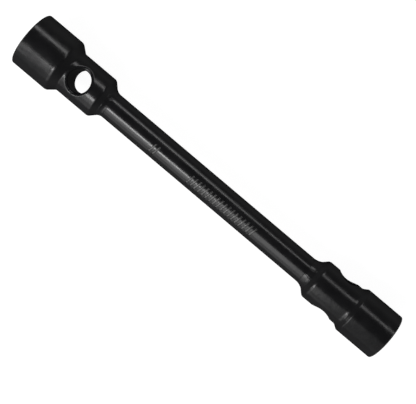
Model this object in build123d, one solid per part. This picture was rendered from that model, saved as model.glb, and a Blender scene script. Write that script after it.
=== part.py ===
"""A double-ended truck wheel-nut wrench, all sizes in millimetres.

A round steel bar, the shank, is pressed a little way into a forged socket head at each end and
fillet-welded there. Each head has a hexagon socket at its mouth and, behind it, a narrower boss
with a cross hole for a tommy bar. The two cross holes stand at right angles to each other.

X runs along the wrench from the large socket to the small one, and Z along the large head's
cross hole. The origin is on the wrench's axis, halfway between the two mouths.
"""

from build123d import *
from dataclasses import dataclass
from math import cos, radians, sin
import os

# Driving dimensions
OVERALL_LENGTH = 400.0
SHANK_RADIUS = 12.5
BAR_HOLE_RADIUS = 10.25  # a 20 mm tommy bar slides through
HEAD_END_RADIUS = 15.0  # the head's rear face, which the weld covers

# Details that both heads share
SPIGOT_CLEARANCE = 0.05  # round the shank inside a head
SHANK_END_CHAMFER = 1.0
HEX_CORNER_ROUND = 0.8
LEAD_IN = 0.8  # how far the lead-in cone stands outside the hexagon's corners
CAVITY_FLOOR_ROUND = 2.0
BOSS_REAR_ROUND = 4.0
WELD_TOE_ANGLE = 3.0  # degrees between the weld and the shank at the weld's toe

# Raised slanted bars rolled into the shank, centred this many degrees round from +Z towards -Y
HATCH_ANGLE = 18.0
HATCH_HEIGHT = 0.45
HATCH_WIDTH = 8.6
HATCH_BAR = 1.9
HATCH_PITCH = 4.1
HATCH_SLANT = 14.0
HATCH_ROOT = 0.5  # how deep a bar reaches into the shank
HATCH_ROWS = {-18.5: 18, -60.6: 2}  # where each row starts along X, and its number of bars


@dataclass
class Head:
    """The sizes of one head. Every length is measured along the axis from the socket's mouth."""

    across_flats: float
    hexagon_depth: float
    cavity_radius: float  # of the round relief behind the hexagon
    cavity_depth: float
    socket_radius: float
    socket_length: float
    boss_radius: float
    boss_start: float
    boss_end: float
    length: float
    bar_hole: float
    bar_hole_round: float
    shank_end: float
    rim_round: float
    shoulder_round: float
    foot_round: float  # the hollow round between the shoulder and the boss
    weld_leg: float  # how far the weld runs along the shank


LARGE = Head(
    across_flats=32.0,
    hexagon_depth=34.0,
    cavity_radius=15.0,
    cavity_depth=41.0,
    socket_radius=26.0,
    socket_length=37.4,
    boss_radius=20.0,
    boss_start=44.6,
    boss_end=79.7,
    length=84.7,
    bar_hole=58.1,
    bar_hole_round=2.2,
    shank_end=72.0,
    rim_round=1.5,
    shoulder_round=5.0,
    foot_round=3.0,
    weld_leg=5.5,
)

SMALL = Head(
    across_flats=27.0,
    hexagon_depth=33.0,
    cavity_radius=12.5,
    cavity_depth=40.0,
    socket_radius=22.5,
    socket_length=37.0,
    boss_radius=19.5,
    boss_start=41.6,
    boss_end=78.5,
    length=83.0,
    bar_hole=57.0,
    bar_hole_round=0.4,
    shank_end=70.5,
    rim_round=0.9,
    shoulder_round=1.5,
    foot_round=5.0,
    weld_leg=7.5,
)


def turned(corners):
    """A solid turned about X from a closed outline of (x, radius, rounding) corners."""
    points = [(x, radius) for x, radius, _ in corners]
    roundings = [rounding for _, _, rounding in corners]
    outline = FilletPolyline(*points, radius=roundings, close=True)
    return revolve(make_face(outline.edges()), Axis.X)


def head_body(head):
    """The head's outside, as a solid without its cavity, cross hole or shank seat."""
    return turned(
        [
            (0, 0, 0),
            (0, head.socket_radius, head.rim_round),
            (head.socket_length, head.socket_radius, head.shoulder_round),
            (head.boss_start, head.boss_radius, head.foot_round),
            (head.boss_end, head.boss_radius, BOSS_REAR_ROUND),
            (head.length, HEAD_END_RADIUS, 0),
            (head.length, 0, 0),
        ]
    )


def socket_cavity(head):
    """The hexagon, its lead-in cone at the mouth and the round relief behind it."""
    flat_radius = head.across_flats / 2
    hexagon = RegularPolygon(flat_radius, 6, major_radius=False, rotation=30)
    hexagon = fillet(hexagon.vertices(), HEX_CORNER_ROUND)
    corner_radius = flat_radius / cos(radians(30))
    mouth_radius = corner_radius + LEAD_IN
    lead_in = turned([(0, 0, 0), (0, mouth_radius, 0), (mouth_radius, 0, 0)])
    relief = turned(
        [
            (0, 0, 0),
            (0, head.cavity_radius, 0),
            (head.cavity_depth, head.cavity_radius, CAVITY_FLOOR_ROUND),
            (head.cavity_depth, 0, 0),
        ]
    )
    return extrude(Plane.YZ * hexagon, head.hexagon_depth) + lead_in + relief


def shank_seat(head):
    """The blind bore that the shank's end sits in."""
    radius = SHANK_RADIUS + SPIGOT_CLEARANCE
    return turned(
        [
            (head.shank_end, 0, 0),
            (head.shank_end, radius, 0),
            (head.length, radius, 0),
            (head.length, 0, 0),
        ]
    )


def bar_hole_mouths(solid):
    """The two saddle-shaped edges where the cross hole meets the boss, each as wide as the hole."""
    width = 2 * BAR_HOLE_RADIUS
    tolerance = 0.1
    mouths = []
    for edge in solid.edges():
        size = edge.bounding_box().size
        if abs(size.X - width) < tolerance and abs(size.Y - width) < tolerance:
            mouths.append(edge)
    return mouths


def make_head(head):
    """A head with its mouth at x = 0, its shank seat towards +X and its cross hole along Z."""
    cross_hole = Pos(X=head.bar_hole) * Cylinder(BAR_HOLE_RADIUS, 2 * head.socket_radius)
    solid = head_body(head) - cross_hole
    solid = fillet(bar_hole_mouths(solid), head.bar_hole_round)
    return solid - socket_cavity(head) - shank_seat(head)


def make_weld(head):
    """The fillet weld that runs from the head's rear face down to its toe on the shank."""
    root = (head.length, SHANK_RADIUS)
    top = (head.length, HEAD_END_RADIUS)
    toe = (head.length + head.weld_leg, SHANK_RADIUS)
    slope = radians(WELD_TOE_ANGLE)
    face = TangentArc(toe, top, tangent=(-cos(slope), sin(slope)))
    legs = Polyline(top, root, toe)
    return revolve(make_face(face.edges() + legs.edges()), Axis.X)


def hatch_row(start, count):
    """One row of slanted bars that stand HATCH_HEIGHT proud of the shank."""
    half = HATCH_WIDTH / 2
    strokes = []
    for index in range(count):
        x = start + index * HATCH_PITCH
        shift = HATCH_WIDTH * sin(radians(HATCH_SLANT))
        corners = [(x, -half), (x + HATCH_BAR, -half), (x + HATCH_BAR + shift, half), (x + shift, half)]
        strokes.append(Polyline(*corners, close=True))
    outer = SHANK_RADIUS + HATCH_HEIGHT
    prisms = [extrude(make_face(stroke.edges()), outer) for stroke in strokes]
    tube = Cylinder(outer, OVERALL_LENGTH) - Cylinder(SHANK_RADIUS - HATCH_ROOT, OVERALL_LENGTH)
    tube = Rot(Y=90) * tube
    return [Rot(X=HATCH_ANGLE) * (prism & tube) for prism in prisms]


def make_shank():
    """The plain bar between the two heads, with the raised hatching on it."""
    start = LARGE.shank_end - OVERALL_LENGTH / 2
    end = OVERALL_LENGTH / 2 - SMALL.shank_end
    bar = Pos(X=(start + end) / 2) * Rot(Y=90) * Cylinder(SHANK_RADIUS, end - start)
    bar = chamfer(bar.edges().filter_by(GeomType.CIRCLE), SHANK_END_CHAMFER)
    for row_start, count in HATCH_ROWS.items():
        for stroke in hatch_row(row_start, count):
            bar += stroke
    return bar


def main():
    """Build every piece in its place and write one STEP file for each."""
    large_end = Pos(X=-OVERALL_LENGTH / 2)
    small_end = Pos(X=OVERALL_LENGTH / 2) * Rot(Z=180) * Rot(X=90)
    pieces = {
        "shank": make_shank(),
        "large_socket_head": large_end * make_head(LARGE),
        "small_socket_head": small_end * make_head(SMALL),
        "large_end_weld": large_end * make_weld(LARGE),
        "small_end_weld": small_end * make_weld(SMALL),
    }
    os.makedirs("parts", exist_ok=True)
    for name, piece in pieces.items():
        export_step(piece, f"parts/{name}.step")


main()
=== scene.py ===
"""Looks for a double-ended truck wheel wrench: black steel, weld beads, studio light and camera."""

import bpy
import bmesh
import math
from mathutils import Matrix, Vector


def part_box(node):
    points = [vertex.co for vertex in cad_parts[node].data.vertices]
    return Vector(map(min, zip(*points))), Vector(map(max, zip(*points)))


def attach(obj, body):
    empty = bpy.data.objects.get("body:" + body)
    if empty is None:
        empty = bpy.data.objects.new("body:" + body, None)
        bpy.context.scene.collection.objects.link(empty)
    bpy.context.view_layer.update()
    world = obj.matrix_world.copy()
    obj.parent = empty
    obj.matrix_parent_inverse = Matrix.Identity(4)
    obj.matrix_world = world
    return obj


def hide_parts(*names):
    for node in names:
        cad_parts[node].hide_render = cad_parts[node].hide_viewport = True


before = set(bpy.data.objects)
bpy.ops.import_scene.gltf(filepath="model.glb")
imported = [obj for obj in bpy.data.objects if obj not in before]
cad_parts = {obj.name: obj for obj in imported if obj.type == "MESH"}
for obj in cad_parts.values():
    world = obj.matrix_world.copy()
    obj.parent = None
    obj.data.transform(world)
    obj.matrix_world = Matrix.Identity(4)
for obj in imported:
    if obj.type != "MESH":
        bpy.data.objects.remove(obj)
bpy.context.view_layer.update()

MM = 0.001


# ---------------------------------------------------------------- measures taken from the frame

LARGE_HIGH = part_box("large_socket_head")[1]
SMALL_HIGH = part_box("small_socket_head")[1]
SHANK_LOW, SHANK_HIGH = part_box("shank")
LARGE_RADIUS = LARGE_HIGH.z
SMALL_RADIUS = SMALL_HIGH.z
HALF_LENGTH = SMALL_HIGH.x
SHANK_RADIUS = -SHANK_LOW.z


# ---------------------------------------------------------------- camera

CAMERA_DISTANCE = 870 * MM
CAMERA_LENS = 87.0  # millimetres, on Blender's 36 mm sensor
CAMERA_ROLL = math.radians(40.18)
CAMERA_LEAN = math.radians(6.0)  # how far the view leans over from +Z towards +Y
CAMERA_AIM = Vector((7.6 * MM, -9.6 * MM, 0))


def make_camera():
    """A camera that looks down on the wrench, with the large socket at the picture's upper left."""
    camera = bpy.data.objects.new("camera", bpy.data.cameras.new("camera"))
    bpy.context.scene.collection.objects.link(camera)
    camera.data.lens = CAMERA_LENS
    turn = Matrix.Rotation(-CAMERA_LEAN, 4, "X") @ Matrix.Rotation(CAMERA_ROLL, 4, "Z")
    back = turn @ Vector((0, 0, CAMERA_DISTANCE))
    camera.matrix_world = Matrix.Translation(CAMERA_AIM + back) @ turn
    bpy.context.scene.camera = camera


# ---------------------------------------------------------------- shapes

def piece_from_rings(name, rings, closed_section, material, node):
    """Join rings of points with quads, as a tube with capped ends or as a ring of closed sections."""
    mesh = bpy.data.meshes.new(name)
    shape = bmesh.new()
    rows = [[shape.verts.new(point) for point in ring] for ring in rings]
    pairs = list(zip(rows, rows[1:]))
    if closed_section:
        pairs.append((rows[-1], rows[0]))
    for row, following in pairs:
        for index in range(len(row)):
            other = (index + 1) % len(row)
            shape.faces.new((row[index], row[other], following[other], following[index]))
    if not closed_section:
        shape.faces.new(reversed(rows[0]))
        shape.faces.new(rows[-1])
    bmesh.ops.recalc_face_normals(shape, faces=shape.faces)
    for face in shape.faces:
        face.smooth = len(face.verts) == 4
    shape.to_mesh(mesh)
    shape.free()
    mesh.materials.append(material)
    piece = bpy.data.objects.new(name, mesh)
    bpy.context.scene.collection.objects.link(piece)
    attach(piece, "root")
    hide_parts(node)


# The shank, whose raised bars lie in rows along X and lean over along X as they go across

SHANK_END_CHAMFER = 1.0 * MM
SHANK_STEP = 5 * MM  # between the rings of its plain stretches
SHANK_FACETS = 28  # on each side, from the hatching's edge round to the far side

HATCH_HEIGHT = SHANK_HIGH.z - SHANK_RADIUS
HATCH_ANGLE = math.radians(18)  # from +Z towards -Y
HATCH_WIDTH = 8.6 * MM
HATCH_BAR = 1.9 * MM
HATCH_PITCH = 4.1 * MM
HATCH_SLANT = math.sin(math.radians(14))  # how far a bar leans along X for each unit across
HATCH_ROWS = {-18.5 * MM: 18, -60.6 * MM: 2}  # where each row starts along X, and its number of bars
HATCH_END_ROUND = 1.0 * MM
HATCH_SQUARENESS = 2.6  # 2 makes a bar's section half an ellipse, and more makes it boxier
HATCH_FACETS = 6  # from a bar's middle to where its rounded end starts
HATCH_END_SHARES = (0.25, 0.5, 0.75, 0.9, 1.0)  # where its points lie from there to the very end
HATCH_SIDE_SHARES = (0.4, 0.65, 0.83, 0.95, 1.0, 1.12)  # rings beside a bar's middle, in half bars
LEAN_FADE = 12 * MM  # how far past a row the rings take to stand upright


def smooth_step(value):
    """Ease from 0 to 1 as value goes from 0 to 1, and hold outside."""
    value = min(max(value, 0.0), 1.0)
    return value * value * (3 - 2 * value)


def hatch_centers():
    """Where each raised bar crosses the middle of its row, along X."""
    middle = (HATCH_BAR + HATCH_WIDTH * HATCH_SLANT) / 2
    return [
        start + index * HATCH_PITCH + middle
        for start, count in HATCH_ROWS.items()
        for index in range(count)
    ]


def shank_stations(centers):
    """The ring positions along X: close together over each bar, sparse elsewhere."""
    shares = [0.0] + [side * share for side in (-1, 1) for share in HATCH_SIDE_SHARES]
    stations = {center + share * HATCH_BAR / 2 for center in centers for share in shares}
    last = SHANK_HIGH.x - SHANK_END_CHAMFER
    x = SHANK_LOW.x + SHANK_END_CHAMFER
    while x < last:
        if all(abs(x - center) > HATCH_BAR for center in centers):
            stations.add(x)
        x += SHANK_STEP
    return sorted(stations | {last})


def shank_angles():
    """The directions round the shank from the hatching's middle: close together over it."""
    half = math.asin(HATCH_WIDTH / 2 / SHANK_RADIUS)
    tip = math.asin((HATCH_WIDTH / 2 - HATCH_END_ROUND) / SHANK_RADIUS)
    positive = [tip * index / HATCH_FACETS for index in range(1, HATCH_FACETS + 1)]
    positive += [tip + (half - tip) * share for share in HATCH_END_SHARES]
    positive += [half + (math.pi - half) * index / SHANK_FACETS for index in range(1, SHANK_FACETS + 1)]
    return [-angle for angle in reversed(positive[:-1])] + [0.0] + positive


def hatch_rise(along, across):
    """A bar's height over the shank: domed along X, with steep sides and rounded ends."""
    share = abs(along) / (HATCH_BAR / 2)
    past = (abs(across) - (HATCH_WIDTH / 2 - HATCH_END_ROUND)) / HATCH_END_ROUND
    past = max(past, 0.0)
    if share >= 1 or past >= 1:
        return 0.0
    return HATCH_HEIGHT * math.sqrt(1 - share**HATCH_SQUARENESS) * math.sqrt(1 - past**2)


def shank_point(x, radius, angle):
    """A point in the direction of that angle from the hatching's middle."""
    turn = angle - HATCH_ANGLE
    return (x, radius * math.sin(turn), radius * math.cos(turn))


def hatched_ring(x, centers, angles):
    """One ring of the shank, which leans with the bars near it and rises where one crosses it."""
    nearest = min(centers, key=lambda center: abs(x - center))
    lean = HATCH_SLANT * (1 - smooth_step((abs(x - nearest) - HATCH_PITCH) / LEAN_FADE))
    ring = []
    for angle in angles:
        across = SHANK_RADIUS * math.sin(angle)
        rise = hatch_rise(x - nearest, across) if abs(angle) < math.pi / 2 else 0.0
        ring.append(shank_point(x + lean * across, SHANK_RADIUS + rise, angle))
    return ring


def make_shank(material):
    """The round bar with its raised slanted hatching, as one skin."""
    centers = hatch_centers()
    angles = shank_angles()
    end_radius = SHANK_RADIUS - SHANK_END_CHAMFER
    rings = [[shank_point(SHANK_LOW.x, end_radius, angle) for angle in angles]]
    rings += [hatched_ring(x, centers, angles) for x in shank_stations(centers)]
    rings.append([shank_point(SHANK_HIGH.x, end_radius, angle) for angle in angles])
    piece_from_rings("shank_bar", rings, False, material, "shank")


# The weld beads, each a hollow fillet with crescent ripples and an uneven toe

WELD_TOE_ANGLE = math.radians(3)  # between the bead and the shank at the toe
WELD_SECTIONS = 288
WELD_STEPS = 14
WELD_RIPPLES = 46
WELD_RIPPLE_HEIGHT = 0.05 * MM
WELD_RIPPLE_FULLNESS = 0.7  # less than 1 carries the ripples closer to the bead's edges
WELD_CRESCENT = 2.2  # how far a ripple's ends are offset from its middle, in radians of its phase
WELD_UNEVENNESS = 0.8  # how far the ripples' spacing wanders, in radians of their phase
WELD_WANDER = 0.22 * MM  # how far the bead's width wanders


def weld_section(low, high, toward, angle):
    """One section of the bead, as (x, radius) points: hollow face from toe to top, then the root."""
    wander = WELD_WANDER * (math.sin(3 * angle + 0.7) + 0.6 * math.sin(7 * angle + 2.1)) / 1.6
    root_x = low.x if toward > 0 else high.x
    leg = high.x - low.x - WELD_WANDER + wander
    rise = high.z - SHANK_RADIUS
    turn = 2 * (math.atan2(rise, leg) - WELD_TOE_ANGLE)
    arc = math.hypot(rise, leg) / (2 * math.sin(turn / 2))
    points = []
    for step in range(WELD_STEPS + 1):
        share = step / WELD_STEPS
        slope = WELD_TOE_ANGLE + turn * share
        run = leg - arc * (math.sin(slope) - math.sin(WELD_TOE_ANGLE))
        radius = SHANK_RADIUS + arc * (math.cos(WELD_TOE_ANGLE) - math.cos(slope))
        crescent = WELD_RIPPLES * angle + WELD_CRESCENT * (2 * share - 1) ** 2
        ripple = 0.5 + 0.5 * math.sin(crescent + WELD_UNEVENNESS * math.sin(5 * angle))
        lift = WELD_RIPPLE_HEIGHT * ripple * math.sin(math.pi * share) ** WELD_RIPPLE_FULLNESS
        points.append((root_x + toward * (run + lift * math.sin(slope)), radius + lift * math.cos(slope)))
    points.append((root_x, SHANK_RADIUS))
    return points


def make_weld(node, toward, material):
    """A rippled fillet weld all round the shank; toward is the side of the head that it lies on."""
    low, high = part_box(node)
    rings = []
    for index in range(WELD_SECTIONS):
        angle = 2 * math.pi * index / WELD_SECTIONS
        section = weld_section(low, high, toward, angle)
        rings.append([(x, radius * math.cos(angle), radius * math.sin(angle)) for x, radius in section])
    piece_from_rings(node + "_bead", rings, True, material, node)


# ---------------------------------------------------------------- shader nodes

def new_material(name):
    """An empty node material; returns it with its node tree, its shader and its object coordinates."""
    material = bpy.data.materials.new(name)
    material.use_nodes = True
    tree = material.node_tree
    shader = tree.nodes["Principled BSDF"]
    coordinates = tree.nodes.new("ShaderNodeTexCoord").outputs["Object"]
    return material, tree, shader, coordinates


def noise(tree, coordinates, scale, detail, stretch=None):
    """Grey noise; scale is in features per metre, and stretch lengthens them along Y and Z."""
    node = tree.nodes.new("ShaderNodeTexNoise")
    node.inputs["Scale"].default_value = scale
    node.inputs["Detail"].default_value = detail
    if stretch is not None:
        squeeze = tree.nodes.new("ShaderNodeMapping")
        squeeze.inputs["Scale"].default_value = (1, 1 / stretch, 1 / stretch)
        tree.links.new(coordinates, squeeze.inputs["Vector"])
        coordinates = squeeze.outputs["Vector"]
    tree.links.new(coordinates, node.inputs["Vector"])
    return node.outputs["Fac"]


def math_node(tree, operation, first, second=None):
    """One step of arithmetic; each input is a link or a number."""
    node = tree.nodes.new("ShaderNodeMath")
    node.operation = operation
    for socket, value in zip(node.inputs, (first, second)):
        if isinstance(value, (int, float)):
            socket.default_value = value
        elif value is not None:
            tree.links.new(value, socket)
    return node.outputs["Value"]


def remap(tree, value, low, high, start=0.3, end=0.7):
    """Stretch a value from start..end, where noise mostly lies, to low..high."""
    node = tree.nodes.new("ShaderNodeMapRange")
    node.inputs["From Min"].default_value = start
    node.inputs["From Max"].default_value = end
    node.inputs["To Min"].default_value = low
    node.inputs["To Max"].default_value = high
    tree.links.new(value, node.inputs["Value"])
    return node.outputs["Result"]


def bump(tree, height, distance, normal=None):
    """A bump of that height in metres, on top of another normal if one is given."""
    node = tree.nodes.new("ShaderNodeBump")
    node.inputs["Distance"].default_value = distance
    node.inputs["Strength"].default_value = 1.0
    tree.links.new(height, node.inputs["Height"])
    if normal is not None:
        tree.links.new(normal, node.inputs["Normal"])
    return node.outputs["Normal"]


def blend_colors(tree, factor, first, second):
    """Mix two colours, each a link or an RGB triple, by a grey value."""
    node = tree.nodes.new("ShaderNodeMix")
    node.data_type = "RGBA"
    tree.links.new(factor, node.inputs["Factor"])
    for name, color in (("A", first), ("B", second)):
        if isinstance(color, tuple):
            node.inputs[name].default_value = (*color, 1)
        else:
            tree.links.new(color, node.inputs[name])
    return node.outputs["Result"]


def patchy(tree, coordinates, mask, scale):
    """Break a mask up with noise, so that rubbed places have ragged edges."""
    return math_node(tree, "MULTIPLY", mask, remap(tree, noise(tree, coordinates, scale, 4), 0.2, 1))


# ---------------------------------------------------------------- steel

BLACK_LOW = (0.0072, 0.0072, 0.0080)
BLACK_HIGH = (0.0112, 0.0112, 0.0122)
RUBBED = (0.15, 0.149, 0.146)
RUBBED_ROUGHER = 0.16  # how much rougher the steel is where the black is rubbed thin
ROUGHNESS_BELOW = 0.04  # how far the roughness varies below the one given, and above it
ROUGHNESS_ABOVE = 0.05

# Sizes of the surface's features, as how many there are in a metre
MOTTLE_SCALE = 70
SHEEN_SCALE = 160
DENT_SCALE = 230
GRAIN_SCALE = 1100
LATHE_SCALE = 750
RIM_PATCH_SCALE = 500
CREST_PATCH_SCALE = 900
LATHE_STRETCH = 14  # how much longer the lathe's marks are across the shank than along it

RIM_RUB_WIDTH = 1.6 * MM
RIM_RUB_STRENGTH = 0.3
CREST_RUB_START = 0.15  # of a bar's height


def black_steel(name, roughness, dent, grain, rub=None, lathe=0.0, ior=1.5):
    """Black-finished steel: a mottled satin skin with forging dents, fine grain and rubbed places.

    dent, grain and lathe are bump heights in metres; rub is a function that makes a 0..1 mask of
    where the black is rubbed thin.
    """
    material, tree, shader, coordinates = new_material(name)
    mottle = noise(tree, coordinates, MOTTLE_SCALE, 4)
    color = blend_colors(tree, remap(tree, mottle, 0, 1), BLACK_LOW, BLACK_HIGH)
    sheen = noise(tree, coordinates, SHEEN_SCALE, 4)
    rough = remap(tree, sheen, roughness - ROUGHNESS_BELOW, roughness + ROUGHNESS_ABOVE)
    if rub is not None:
        mask = rub(tree, coordinates)
        color = blend_colors(tree, mask, color, RUBBED)
        rough = math_node(tree, "ADD", rough, math_node(tree, "MULTIPLY", mask, RUBBED_ROUGHER))
    normal = bump(tree, noise(tree, coordinates, DENT_SCALE, 2), dent)
    normal = bump(tree, noise(tree, coordinates, GRAIN_SCALE, 3), grain, normal)
    if lathe:
        normal = bump(tree, noise(tree, coordinates, LATHE_SCALE, 3, LATHE_STRETCH), lathe, normal)
    tree.links.new(color, shader.inputs["Base Color"])
    tree.links.new(rough, shader.inputs["Roughness"])
    tree.links.new(normal, shader.inputs["Normal"])
    shader.inputs["IOR"].default_value = ior
    return material


def rim_rub(tree, coordinates):
    """Rubbed thin on the last millimetre or so at both mouths."""
    split = tree.nodes.new("ShaderNodeSeparateXYZ")
    tree.links.new(coordinates, split.inputs[0])
    reach = math_node(tree, "ABSOLUTE", split.outputs["X"])
    start = HALF_LENGTH - RIM_RUB_WIDTH
    mask = remap(tree, reach, 0, RIM_RUB_STRENGTH, start=start, end=HALF_LENGTH)
    return patchy(tree, coordinates, mask, RIM_PATCH_SCALE)


def crest_rub(tree, coordinates):
    """Rubbed thin on the crests of the shank's raised bars, which stand furthest from the axis."""
    flatten = tree.nodes.new("ShaderNodeVectorMath")
    flatten.operation = "MULTIPLY"
    flatten.inputs[1].default_value = (0, 1, 1)
    tree.links.new(coordinates, flatten.inputs[0])
    length = tree.nodes.new("ShaderNodeVectorMath")
    length.operation = "LENGTH"
    tree.links.new(flatten.outputs["Vector"], length.inputs[0])
    start = SHANK_RADIUS + CREST_RUB_START * HATCH_HEIGHT
    mask = remap(tree, length.outputs["Value"], 0, 1, start=start, end=SHANK_RADIUS + HATCH_HEIGHT)
    return patchy(tree, coordinates, mask, CREST_PATCH_SCALE)


def head_steel():
    """The heads' steel, with the deepest dents, rubbed at the mouths."""
    return black_steel("head_black_steel", 0.21, 0.07 * MM, 0.009 * MM, rub=rim_rub, ior=1.46)


def shank_steel():
    """The shank's steel, with fine marks round it, rubbed on the crests of the raised bars."""
    return black_steel("shank_black_steel", 0.20, 0.045 * MM, 0.006 * MM, rub=crest_rub, lathe=0.008 * MM)


def weld_steel():
    """The weld beads' steel, nearly smooth between the ripples."""
    return black_steel("weld_black_steel", 0.22, 0.02 * MM, 0.008 * MM)


def finish_heads(material):
    """Give the two packed heads their finish."""
    for node in ("large_socket_head", "small_socket_head"):
        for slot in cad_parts[node].material_slots:
            slot.material = material


# ---------------------------------------------------------------- studio

FLOOR_SIZE = 6.0  # metres
FLOOR_GREY = 0.22
FLOOR_GLOW = 0.93
MATT_AMBIENT = 0.2
GLOSS_HORIZON = 0.19
GLOSS_AMBIENT = 0.02
HORIZON_DROP = 0.15  # how far the palest band lies below level, as a direction's Z
HORIZON_REACH = 0.75  # how far from there the gloss takes to dim to GLOSS_AMBIENT
LIGHT_DISTANCE = 0.9  # metres


def make_floor():
    """A white floor that both heads rest on, so it falls a little towards the thicker head."""
    mesh = bpy.data.meshes.new("floor")
    half = FLOOR_SIZE / 2
    corners = [(-half, -half, 0), (half, -half, 0), (half, half, 0), (-half, half, 0)]
    mesh.from_pydata(corners, [], [(0, 1, 2, 3)])
    floor = bpy.data.objects.new("floor", mesh)
    bpy.context.scene.collection.objects.link(floor)
    slope = math.asin((LARGE_RADIUS - SMALL_RADIUS) / (2 * HALF_LENGTH))
    floor.rotation_euler = (0, -slope, 0)
    floor.location = (-HALF_LENGTH, 0, -LARGE_RADIUS)
    floor.visible_glossy = False
    floor.visible_diffuse = False
    material, _, shader, _ = new_material("floor_white")
    shader.inputs["Base Color"].default_value = (FLOOR_GREY, FLOOR_GREY, FLOOR_GREY, 1)
    shader.inputs["Roughness"].default_value = 1.0
    shader.inputs["Emission Color"].default_value = (1, 1, 1, 1)
    shader.inputs["Emission Strength"].default_value = FLOOR_GLOW
    mesh.materials.append(material)


def make_world():
    """White for the camera, soft for matt surfaces; in the gloss, dim with a paler horizon."""
    world = bpy.data.worlds.new("studio")
    bpy.context.scene.world = world
    world.use_nodes = True
    tree = world.node_tree
    direction = tree.nodes.new("ShaderNodeTexCoord").outputs["Generated"]
    split = tree.nodes.new("ShaderNodeSeparateXYZ")
    tree.links.new(direction, split.inputs[0])
    off_horizon = math_node(tree, "ABSOLUTE", math_node(tree, "ADD", split.outputs["Z"], HORIZON_DROP))
    gloss = remap(tree, off_horizon, GLOSS_HORIZON, GLOSS_AMBIENT, start=0.0, end=HORIZON_REACH)
    rays = tree.nodes.new("ShaderNodeLightPath")
    shade = tree.nodes["Background"]
    shade.inputs["Color"].default_value = (1, 1, 1, 1)
    tree.links.new(gloss, shade.inputs["Strength"])
    shader = shade.outputs[0]
    for kind, strength in (("Is Diffuse Ray", MATT_AMBIENT), ("Is Camera Ray", 1.0)):
        light = tree.nodes.new("ShaderNodeBackground")
        light.inputs["Color"].default_value = (1, 1, 1, 1)
        light.inputs["Strength"].default_value = strength
        mix = tree.nodes.new("ShaderNodeMixShader")
        tree.links.new(rays.outputs[kind], mix.inputs["Fac"])
        tree.links.new(shader, mix.inputs[1])
        tree.links.new(light.outputs[0], mix.inputs[2])
        shader = mix.outputs[0]
    tree.links.new(shader, tree.nodes["World Output"].inputs["Surface"])


def soft_light(name, angle, center_x, length, width, watts, yaw=0):
    """A long soft light over the wrench; angle is from +Z towards +Y, yaw turns it about its own middle."""
    light = bpy.data.lights.new(name, "AREA")
    light.shape = "RECTANGLE"
    light.size = length
    light.size_y = width
    light.energy = watts
    panel = bpy.data.objects.new(name, light)
    bpy.context.scene.collection.objects.link(panel)
    swing = Matrix.Rotation(-math.radians(angle), 4, "X")
    place = swing @ Vector((center_x, 0, LIGHT_DISTANCE))
    panel.matrix_world = Matrix.Translation(place) @ swing @ Matrix.Rotation(math.radians(yaw), 4, "Z")


def make_lights():
    """A thin streak along the far side, and a broad one along the near side that fades towards +X."""
    soft_light("far_strip", 46.5, center_x=0.0, length=1.4, width=0.12, watts=1.45, yaw=-9)
    soft_light("far_wide", 52, center_x=-0.22, length=0.5, width=0.26, watts=0.45)
    soft_light("near_key", -31, center_x=-0.165, length=0.30, width=0.15, watts=1.5)
    soft_light("near_side", -41, center_x=-0.035, length=0.57, width=0.6, watts=2.2)
    soft_light("near_left", -46, center_x=-0.60, length=0.3, width=0.6, watts=2.2)
    soft_light("near_low", -74, center_x=-0.035, length=0.57, width=0.45, watts=0.55)
    soft_light("near_fill", -55, center_x=0.0, length=1.3, width=1.1, watts=1.0)


make_camera()
finish_heads(head_steel())
make_shank(shank_steel())
weld_finish = weld_steel()
make_weld("large_end_weld", 1, weld_finish)
make_weld("small_end_weld", -1, weld_finish)
make_floor()
make_world()
make_lights()
bpy.context.scene.view_settings.view_transform = "Standard"
